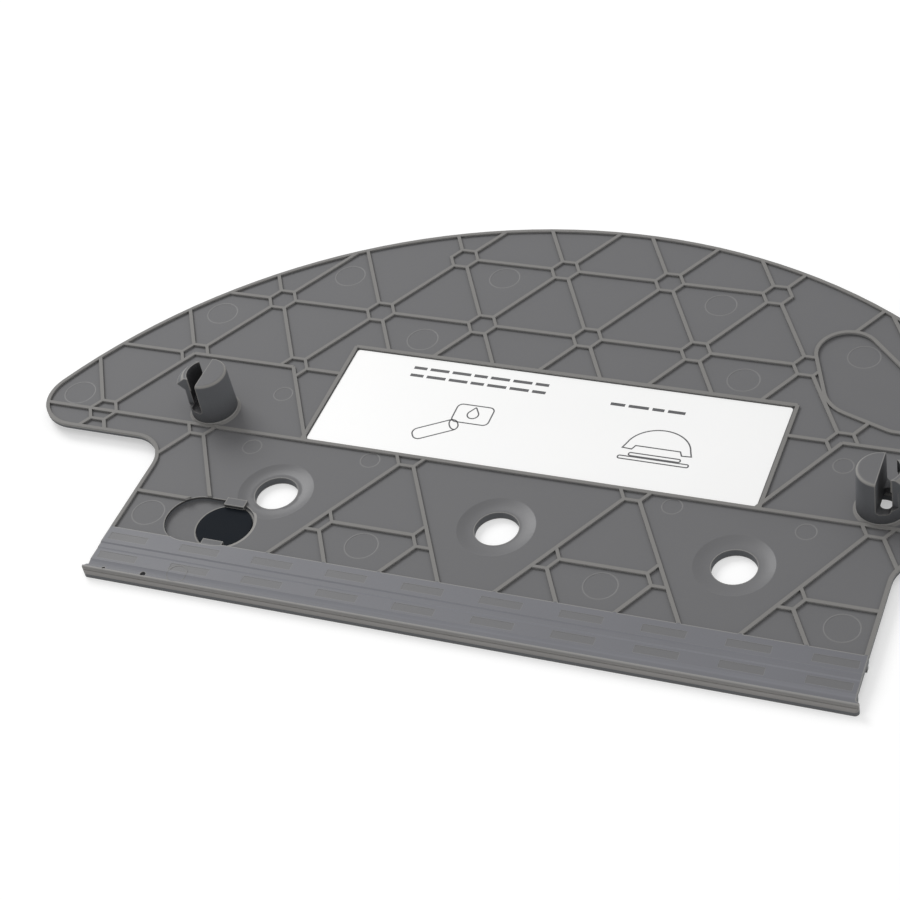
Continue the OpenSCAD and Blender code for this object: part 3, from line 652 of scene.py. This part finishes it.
def tape_material():
    """Black nylon: a fine weave of crossed waves in the height, and a soft sheen."""
    p = look("tape_look")
    material = bpy.data.materials.new("Black hook tape")
    tree = new_tree(material)
    place = node(tree, "ShaderNodeTexCoord")
    skin = add_skin(tree, place.outputs["Object"], **{
        "Drift Size": 6 * MM, "Drift": 0.4, "Grain Size": 0.3 * MM, "Roughness": 0.7,
        "Roughness Spread": 0.15, "Color": (*p.colour, 1)})
    waves = []
    for direction in ("X", "Y"):
        wave = node(tree, "ShaderNodeTexWave", wave_type="BANDS", bands_direction=direction, Scale=0.16 / (0.6 * MM))
        tree.links.new(place.outputs["Object"], wave.inputs["Vector"])
        waves.append(wave.outputs["Fac"])
    shader = finish_shader(tree, skin, 0.05, **{"Sheen Weight": 0.25, "Sheen Roughness": 0.5})
    bump = shader.inputs["Normal"].links[0].from_node
    weave = product(tree, waves[0], waves[1])
    both = node(tree, "ShaderNodeMath", operation="ADD")
    tree.links.new(weave, both.inputs[0])
    tree.links.new(skin.outputs["Height"], both.inputs[1])
    tree.links.new(both.outputs[0], bump.inputs["Height"])
    return material


# Pieces

def mark_places():
    """Middle, height and radius of each ejector mark. The places are grid steps to the right of the plate's
    middle line and down from the first row of hexagons."""
    low, high = box_mm("bracket_plate")
    floor_z = box_mm("label_film")[0][2]
    first_row, row = high[1] - FIRST_ROW, PITCH * np.sqrt(3) / 2
    groups = ((PINS, floor_z, PIN_R), (SMALL_PINS, floor_z, SMALL_PIN_R),
              ((POCKET_PIN,), floor_z - POCKET_DEPTH, PIN_R))
    places = [((x * PITCH, first_row - y * row, z), radius) for pins, z, radius in groups for x, y in pins]
    return places + [((BAR_PIN[0], low[1] + BAR_PIN[1], floor_z + RIB_TOP - FRONT_DROP), SMALL_PIN_R)]


def bar_dip(behind):
    """How far the bar's surface lies below its front strip, at places behind the front edge. The hollow is a
    circle about a middle above it, so its depth is the deepest one minus the radius plus the root of the
    squared radius minus the squared distance from the middle. The bead is a circle that stands in the hollow,
    and the higher of the two is the surface. Behind the hollow's end the dip is 0."""
    hollow = HOLLOW_DEPTH - HOLLOW_R + np.sqrt(np.maximum(HOLLOW_R ** 2 - (behind - HOLLOW_MID) ** 2, 0))
    bead = HOLLOW_DEPTH - np.sqrt(np.maximum(BEAD_R ** 2 - (behind - BEAD_MID) ** 2, 0))
    return np.where(behind < HOLLOW_END, np.minimum(hollow, bead), 0)


def mark_ring(middle, radius, width, edge_y):
    """Fine raised ring that follows the plate's surface: a profile that is a low hump, half a sine wave high
    above a flat underside, turned round the mark, and lowered where the front bar dips."""
    t = np.linspace(0, 1, 5)
    hump = np.stack([radius + (t - 0.5) * width, 0.05 * np.sin(np.pi * t) - 0.02], -1)
    under = [[radius + 0.5 * width, -0.07], [radius - 0.5 * width, -0.07], hump[0]]
    points, faces = revolve(np.vstack([hump, under]), middle, 72)
    points[:, 2] += middle[2] - bar_dip(points[:, 1] - edge_y)
    return points, faces


def magnet_profile(low, high, radius, rounding, crown):
    """Half section of the disc, from the middle below to the middle above: a flat bottom, two rounded edges
    and a top that falls from its crown with the square of the radius."""
    edge = np.linspace(-90, 0, 7)
    bottom = arc((radius - rounding, low + rounding), (rounding, rounding), -90, 0, len(edge))
    shoulder = arc((radius - rounding, high - crown - rounding), (rounding, rounding), 0, 90, len(edge))
    across = np.linspace(radius - rounding, 0, 12)[1:]
    top = np.stack([across, high - crown * (across / radius) ** 2], -1)
    return np.vstack([[[0, low]], bottom, shoulder, top])


def tape_outline(half_length, half_width, corner, steps=10):
    """Stations along a pad and the pad's half width there. Between the corners it is constant, and in a
    corner it falls along a quarter circle."""
    angle = np.linspace(0, np.pi / 2, steps)
    end = half_length - corner + corner * np.sin(angle)
    fall = half_width - corner + corner * np.cos(angle)
    inner = np.linspace(-(half_length - corner), half_length - corner, 60)
    stations = np.concatenate([-end[::-1], inner[1:-1], end])
    widths = np.concatenate([fall[::-1], np.full(len(inner) - 2, half_width), fall])
    return stations, widths


def straight_path(middle):
    """Place and side direction at a station of a straight pad: middle plus the station along X."""
    def at(s):
        s = np.asarray(s, float)
        place = np.stack([middle[0] + s, np.full(s.shape, middle[1])], -1)
        return place, np.broadcast_to([0.0, 1.0], place.shape)
    return at


def arc_path(middle, radius):
    """Place and side direction at a station of a pad along the round back: middle plus radius times the
    direction at the angle station / radius from +Y."""
    def at(s):
        a = np.asarray(s, float) / radius
        side = np.stack([np.sin(a), np.cos(a)], -1)
        return np.asarray(middle) + radius * side, side
    return at


def tape_backing(path, half_length, half_width, corner, low, high):
    """Woven strip: at each station a flat ring lies across the path, from minus to plus the half width on
    its lower face and back on its upper face."""
    stations, widths = tape_outline(half_length, half_width, corner)
    place, side = path(stations)
    t = np.linspace(-1, 1, 13)
    ring_t = np.concatenate([t, t[::-1]])
    ring_z = np.concatenate([np.full(len(t), low), np.full(len(t), high)])
    points = np.concatenate([
        place[:, None, :] + side[:, None, :] * (ring_t[None, :, None] * widths[:, None, None]),
        np.broadcast_to(ring_z[None, :, None], (len(stations), len(ring_t), 1))], -1)
    faces = grid_quads(len(stations), len(ring_t), close_columns=True).tolist()
    if widths[0] > 1e-6:
        count = len(t)
        last = (len(stations) - 1) * 2 * count
        for start in (0, last):
            faces += [[start + k, start + k + 1, start + 2 * count - 2 - k, start + 2 * count - 1 - k]
                      for k in range(count - 1)]
    return points.reshape(-1, 3), faces


def tape_hooks(path, half_length, half_width, corner, low, root, spacing, wire):
    """Field of hooks: every hook is a square wire along one curve that goes down, round and up again, at
    places in rows along the pad, each row shifted by half a step and every second row turned round."""
    rows = np.arange(-np.floor(half_length / spacing), np.floor(half_length / spacing) + 1)
    lanes = np.arange(-np.floor(half_width / spacing), np.floor(half_width / spacing) + 1)
    row, lane = (g.ravel() for g in np.meshgrid(rows, lanes, indexing="ij"))
    s = row * spacing
    across = (lane + 0.5 * (row % 2)) * spacing
    inside = np.clip(np.abs(s) - (half_length - corner), 0, corner)
    room = half_width - corner + np.sqrt(corner ** 2 - inside ** 2)
    keep = (np.abs(across) < room - spacing * 0.5) & (np.abs(s) < half_length - spacing * 0.6)
    s, across, flip = s[keep], across[keep], np.where(row[keep] % 2 == 0, 1.0, -1.0)
    place, side = path(s)
    along = np.stack([side[:, 1], -side[:, 0]], -1) * flip[:, None]
    base = place + side * across[:, None]
    reach = wire * 2.2
    bend = np.radians(np.linspace(180, 380, 6))
    curve_a = np.concatenate([[-reach], reach * np.cos(bend)])
    curve_z = np.concatenate([[root + wire], low + wire + reach + reach * np.sin(bend)])
    tangent = np.gradient(np.stack([curve_a, curve_z], -1), axis=0)
    tangent /= np.linalg.norm(tangent, axis=1, keepdims=True)
    out_a, out_z = -tangent[:, 1], tangent[:, 0]
    thin = np.linspace(1.0, 0.7, len(curve_a)) * wire
    corners = ((1, 0), (0, 1), (-1, 0), (0, -1))
    local_a = np.stack([curve_a + c * thin * out_a for c, _ in corners], -1)
    local_z = np.stack([curve_z + c * thin * out_z for c, _ in corners], -1)
    local_s = np.stack([d * thin for _, d in corners], -1)
    plan = (base[:, None, None, :] + along[:, None, None, :] * local_a[None, :, :, None]
            + side[:, None, None, :] * local_s[None, :, :, None])
    height = np.broadcast_to(local_z[None, :, :, None], (*plan.shape[:3], 1))
    points = np.concatenate([plan, height], -1)
    points[..., 2] = np.clip(points[..., 2], low, root + wire)
    one = grid_quads(len(curve_a), 4, close_columns=True)
    caps = np.array([[3, 2, 1, 0], [4 * len(curve_a) - 4 + k for k in range(4)]])
    one = np.vstack([one, caps])
    starts = np.arange(len(s)) * 4 * len(curve_a)
    faces = (one[None] + starts[:, None, None]).reshape(-1, 4)
    return points.reshape(-1, 3), faces.tolist()


def tape_places():
    """Path, half length and corner radius of each pad, from the boxes of the CAD pads. The round pad's angle
    and radius follow from its box: its height is r(1 - cos a) plus the width, its half length r sin a plus
    half the width."""
    p = look("tape_look")
    width = p.width / MM
    found = {}
    for name in ("hook_pad_middle", "hook_pad_left", "hook_pad_right"):
        low, high = box_mm(name)
        found[name] = (straight_path((low + high)[:2] / 2), (high - low)[0] / 2, (high - low)[1] / 2, p.corner / MM)
    low, high = box_mm("hook_pad_rear")
    rise = high[1] - low[1] - width
    reach = (high[0] - low[0] - width) / 2
    angle = 2 * np.arctan2(rise, reach)
    radius = reach / np.sin(angle)
    middle = ((low[0] + high[0]) / 2, high[1] - width / 2 - radius)
    found["hook_pad_rear"] = (arc_path(middle, radius), radius * angle + width / 2, width / 2, width / 2)
    return found


def print_shapes():
    """Generic print in the plan of the label, in millimetres from its middle: bars where lines of words
    would be, an outlined plate shape, and a roller beside a rounded square. All lines are closed or open
    paths that the ribbon function draws."""
    shapes = []
    plate_mid = np.array([35.0, -4.6])
    half, rise = 9.6, 8.4
    dome = arc(plate_mid, (half, rise), 12, 168, 40)
    left_foot, right_foot = plate_mid + [-half - 0.6, -0.4], plate_mid + [half + 0.6, -0.4]
    shapes.append((np.vstack([right_foot, dome, left_foot, plate_mid + [-half + 2.2, -0.6],
                              plate_mid + [-half + 3.0, 1.0], plate_mid + [half - 3.0, 1.0],
                              plate_mid + [half - 2.2, -0.6]]), True))
    for drop, wide in ((2.6, 7.6), (4.2, 10.4)):
        shapes.append((rounded_bar(plate_mid - [0, drop], (2 * wide, 1.2), 0.55), True))
    roller_mid = np.array([-31.5, -8.6])
    tilt = 32
    shapes.append((turned(rounded_bar(roller_mid, (13.6, 4.6), 1.9), roller_mid, tilt), True))
    shapes.append((turned(arc(roller_mid + [5.3, 0], (1.0, 2.1), 90, 270, 16), roller_mid, tilt), False))
    tray_mid = np.array([-22.6, -0.6])
    shapes.append((rounded_bar(tray_mid, (11.5, 7.6), 1.6), True))
    shapes.append((drop_outline(tray_mid, 1.7), True))
    return shapes


def rounded_bar(middle, size, corner, steps=8):
    """Closed outline of a rectangle with round corners."""
    half = np.asarray(size) / 2 - corner
    parts = [arc(np.asarray(middle) + half * sign, (corner, corner), start, start + 90, steps)
             for sign, start in (((1, 1), 0), ((-1, 1), 90), ((-1, -1), 180), ((1, -1), 270))]
    return np.vstack(parts)


def drop_outline(middle, size, steps=28):
    """Closed outline of a drop: a circle whose top is drawn out to a tip by the fourth power of the cosine."""
    a = np.linspace(0, 2 * np.pi, steps, endpoint=False)
    pull = np.maximum(np.cos(a), 0) ** 4
    return np.stack([middle[0] + size * np.sin(a) * (1 - 0.55 * pull),
                     middle[1] + size * (np.cos(a) + 0.75 * pull)], -1)


def print_bars():
    """Plain bars in rows: (x, y, length) from the label's middle, in millimetres."""
    rows = []
    for y, start, end in ((15.7, -49.5, -4.5), (12.4, -54.0, -4.5)):
        lengths = 4.2 + 2.4 * np.sin(np.arange(40) * 2.1) ** 2
        x = end
        for length in lengths:
            if x - length < start:
                break
            rows.append((x - length / 2, y, length))
            x -= length + 1.1
    x = 38.5
    for length in (5.2, 3.6, 6.1, 4.4):
        rows.append((x - length / 2, 11.8, length))
        x -= length + 1.1
    return rows


# Operators

class BRACKET_OT_plate(Operator):
    """Gives the moulded plate its plastic"""
    bl_idname = "bracket.plate"
    bl_label = "Finish the plate"

    def execute(self, context):
        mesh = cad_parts["bracket_plate"].data
        mesh.materials.clear()
        mesh.materials.append(plate_material())
        return {"FINISHED"}


class BRACKET_OT_marks(Operator):
    """Adds the fine rings that the mould's ejector pins left"""
    bl_idname = "bracket.marks"
    bl_label = "Add the ejector rings"

    def execute(self, context):
        width = look("plate_look").ring_w / MM
        edge_y = box_mm("bracket_plate")[0][1]
        points, faces = joined([mark_ring(*place, width, edge_y) for place in mark_places()])
        add_piece("ejector_rings", points, faces, mark_material())
        return {"FINISHED"}


class BRACKET_OT_magnet(Operator):
    """Builds the coated magnet disc with rounded edges"""
    bl_idname = "bracket.magnet"
    bl_label = "Build the magnet"

    def execute(self, context):
        p = look("magnet_look")
        low, high = box_mm("magnet_disc")
        profile = magnet_profile(low[2], high[2], (high - low)[0] / 2, p.edge_round / MM, p.crown / MM)
        points, faces = revolve(profile, (low + high)[:2] / 2)
        piece = add_piece("coated_magnet", points, faces, magnet_material())
        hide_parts("magnet_disc")
        return {"FINISHED"}


class BRACKET_OT_label(Operator):
    """Finishes the label film and prints its generic drawing"""
    bl_idname = "bracket.label"
    bl_label = "Print the label"

    def execute(self, context):
        p = look("label_look")
        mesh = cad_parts["label_film"].data
        mesh.materials.clear()
        mesh.materials.append(film_material())
        low, high = box_mm("label_film")
        middle = (low + high)[:2] / 2
        base, top = high[2] - p.ink_t / MM, high[2] + p.ink_t / MM
        ink = ink_material()
        lines = [ribbon(path + middle, p.line_w / MM, base, top, closed) for path, closed in print_shapes()]
        points, faces = joined(lines)
        add_piece("label_drawing", points, faces, ink)
        bars = [ribbon([[x - length / 2 + middle[0], y + middle[1]], [x + length / 2 + middle[0], y + middle[1]]],
                       1.15, base, top) for x, y, length in print_bars()]
        points, faces = joined(bars)
        add_piece("label_bars", points, faces, ink)
        return {"FINISHED"}


class BRACKET_OT_tape(Operator):
    """Builds the hook tape under the plate"""
    bl_idname = "bracket.tape"
    bl_label = "Build the hook tape"

    def execute(self, context):
        p = look("tape_look")
        material = tape_material()
        for name, (path, half_length, half_width, corner) in tape_places().items():
            low, high = box_mm(name)
            root = high[2] - p.backing / MM
            backing = tape_backing(path, half_length, half_width, corner, root, high[2])
            hooks = tape_hooks(path, half_length, half_width, corner, low[2], root, p.spacing / MM, p.wire / MM)
            points, faces = joined([backing, hooks])
            piece = add_piece(name.replace("pad", "tape"), points, faces, material)
            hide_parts(name)
        return {"FINISHED"}


def shown(tree, rays):
    """1 for rays that show the background: those of the camera, of reflections and through glass."""
    direct = brighter(tree, rays.outputs["Is Camera Ray"], rays.outputs["Is Glossy Ray"])
    return brighter(tree, direct, rays.outputs["Is Transmission Ray"])


def floor_material():
    """Pale floor: the camera sees it white, with the shadow kept, and the plate gets a softer bounce."""
    p = look("stage_look")
    material = bpy.data.materials.new("Studio floor")
    tree = new_tree(material)
    rays = node(tree, "ShaderNodeLightPath")
    seen = shown(tree, rays)
    pale = node(tree, "ShaderNodeBsdfDiffuse", Color=(0.66, 0.66, 0.66, 1))
    glow = node(tree, "ShaderNodeEmission", Color=(1, 1, 1, 1), Strength=0.42)
    both = node(tree, "ShaderNodeAddShader")
    tree.links.new(pale.outputs[0], both.inputs[0])
    tree.links.new(glow.outputs[0], both.inputs[1])
    dull = node(tree, "ShaderNodeBsdfDiffuse", Color=(p.bounce, p.bounce, p.bounce, 1))
    choose = node(tree, "ShaderNodeMixShader")
    tree.links.new(seen, choose.inputs[0])
    tree.links.new(dull.outputs[0], choose.inputs[1])
    tree.links.new(both.outputs[0], choose.inputs[2])
    facing = node(tree, "ShaderNodeNewGeometry")
    clear = node(tree, "ShaderNodeBsdfTransparent")
    sided = node(tree, "ShaderNodeMixShader")
    tree.links.new(facing.outputs["Backfacing"], sided.inputs[0])
    tree.links.new(choose.outputs[0], sided.inputs[1])
    tree.links.new(clear.outputs[0], sided.inputs[2])
    out = node(tree, "ShaderNodeOutputMaterial")
    tree.links.new(sided.outputs[0], out.inputs["Surface"])
    return material


def add_softbox(name, place, target, size, power):
    """Square area light at place that faces target."""
    light = bpy.data.lights.new(name, "AREA")
    light.shape, light.size, light.energy = "SQUARE", size, power
    lamp = bpy.data.objects.new(name, light)
    lamp.location = place
    lamp.rotation_euler = (Vector(target) - Vector(place)).to_track_quat("-Z", "Y").to_euler()
    bpy.context.scene.collection.objects.link(lamp)
    return lamp


def add_camera():
    """Camera whose view direction comes from azimuth and elevation, turned about it by the roll."""
    p = look("stage_look")
    azimuth, elevation, roll = (np.radians(v) for v in (p.azimuth, p.elevation, p.roll))
    back = Vector((np.sin(azimuth) * np.cos(elevation), -np.cos(azimuth) * np.cos(elevation), np.sin(elevation)))
    right = Vector((np.cos(azimuth), np.sin(azimuth), 0))
    up = back.cross(right)
    turned_right = right * np.cos(roll) + up * np.sin(roll)
    turned_up = up * np.cos(roll) - right * np.sin(roll)
    data = bpy.data.cameras.new("Camera")
    data.lens, data.sensor_width, data.shift_x = p.lens, 36, p.shift
    data.clip_start, data.clip_end = 0.01, 20
    camera = bpy.data.objects.new("Camera", data)
    camera.matrix_world = Matrix.Translation(p.camera_at) @ Matrix((turned_right, turned_up, back)).transposed().to_4x4()
    bpy.context.scene.collection.objects.link(camera)
    bpy.context.scene.camera = camera


def set_world():
    """White behind the object for the camera and in reflections, and an even soft light for all else."""
    p = look("stage_look")
    world = bpy.data.worlds.new("Studio")
    world.use_nodes = True
    tree = world.node_tree
    tree.nodes.clear()
    rays = node(tree, "ShaderNodeLightPath")
    seen = shown(tree, rays)
    soft = node(tree, "ShaderNodeBackground", Color=(1, 1, 1, 1), Strength=p.sky)
    white = node(tree, "ShaderNodeBackground", Color=(1, 1, 1, 1), Strength=1.0)
    choose = node(tree, "ShaderNodeMixShader")
    out = node(tree, "ShaderNodeOutputWorld")
    tree.links.new(seen, choose.inputs[0])
    tree.links.new(soft.outputs[0], choose.inputs[1])
    tree.links.new(white.outputs[0], choose.inputs[2])
    tree.links.new(choose.outputs[0], out.inputs["Surface"])
    bpy.context.scene.world = world


class BRACKET_OT_stage(Operator):
    """Sets up the floor, the lights and the camera"""
    bl_idname = "bracket.stage"
    bl_label = "Set the stage"

    def execute(self, context):
        p = look("stage_look")
        half = 3.0
        mesh = bpy.data.meshes.new("floor")
        mesh.from_pydata([(-half, -half, 0), (half, -half, 0), (half, half, 0), (-half, half, 0)], [], [(0, 1, 2, 3)])
        mesh.materials.append(floor_material())
        floor = bpy.data.objects.new("floor", mesh)
        context.scene.collection.objects.link(floor)
        add_softbox("key", (-2.32, 1.74, 2.50), (0, 0, 0), 1.8, p.key)
        add_softbox("fill", (0.2, -0.2, 1.8), (0, 0, 0), 1.0, p.fill)
        set_world()
        add_camera()
        context.scene.view_settings.view_transform = "Standard"
        return {"FINISHED"}


OPERATORS = (BRACKET_OT_plate, BRACKET_OT_marks, BRACKET_OT_magnet, BRACKET_OT_label, BRACKET_OT_tape, BRACKET_OT_stage)


class BRACKET_PT_looks(Panel):
    """Sizes, colours and steps of the bracket's looks"""
    bl_idname = "BRACKET_PT_looks"
    bl_label = "Mop bracket"
    bl_space_type = "VIEW_3D"
    bl_region_type = "UI"
    bl_category = "Mop bracket"

    def draw(self, context):
        for name, kind in GROUPS:
            box = self.layout.box()
            group = getattr(context.scene, name)
            for key in kind.__annotations__:
                box.prop(group, key)
        for operator in OPERATORS:
            self.layout.operator(operator.bl_idname)


def register():
    for name, kind in GROUPS:
        bpy.utils.register_class(kind)
        setattr(bpy.types.Scene, name, PointerProperty(type=kind))
    for kind in (*OPERATORS, BRACKET_PT_looks):
        bpy.utils.register_class(kind)


def unregister():
    for kind in reversed((*OPERATORS, BRACKET_PT_looks)):
        bpy.utils.unregister_class(kind)
    for name, kind in reversed(GROUPS):
        delattr(bpy.types.Scene, name)
        bpy.utils.unregister_class(kind)


def main():
    register()
    bpy.ops.bracket.plate()
    bpy.ops.bracket.marks()
    bpy.ops.bracket.magnet()
    bpy.ops.bracket.label()
    bpy.ops.bracket.tape()
    bpy.ops.bracket.stage()


if __name__ == "__main__":
    main()
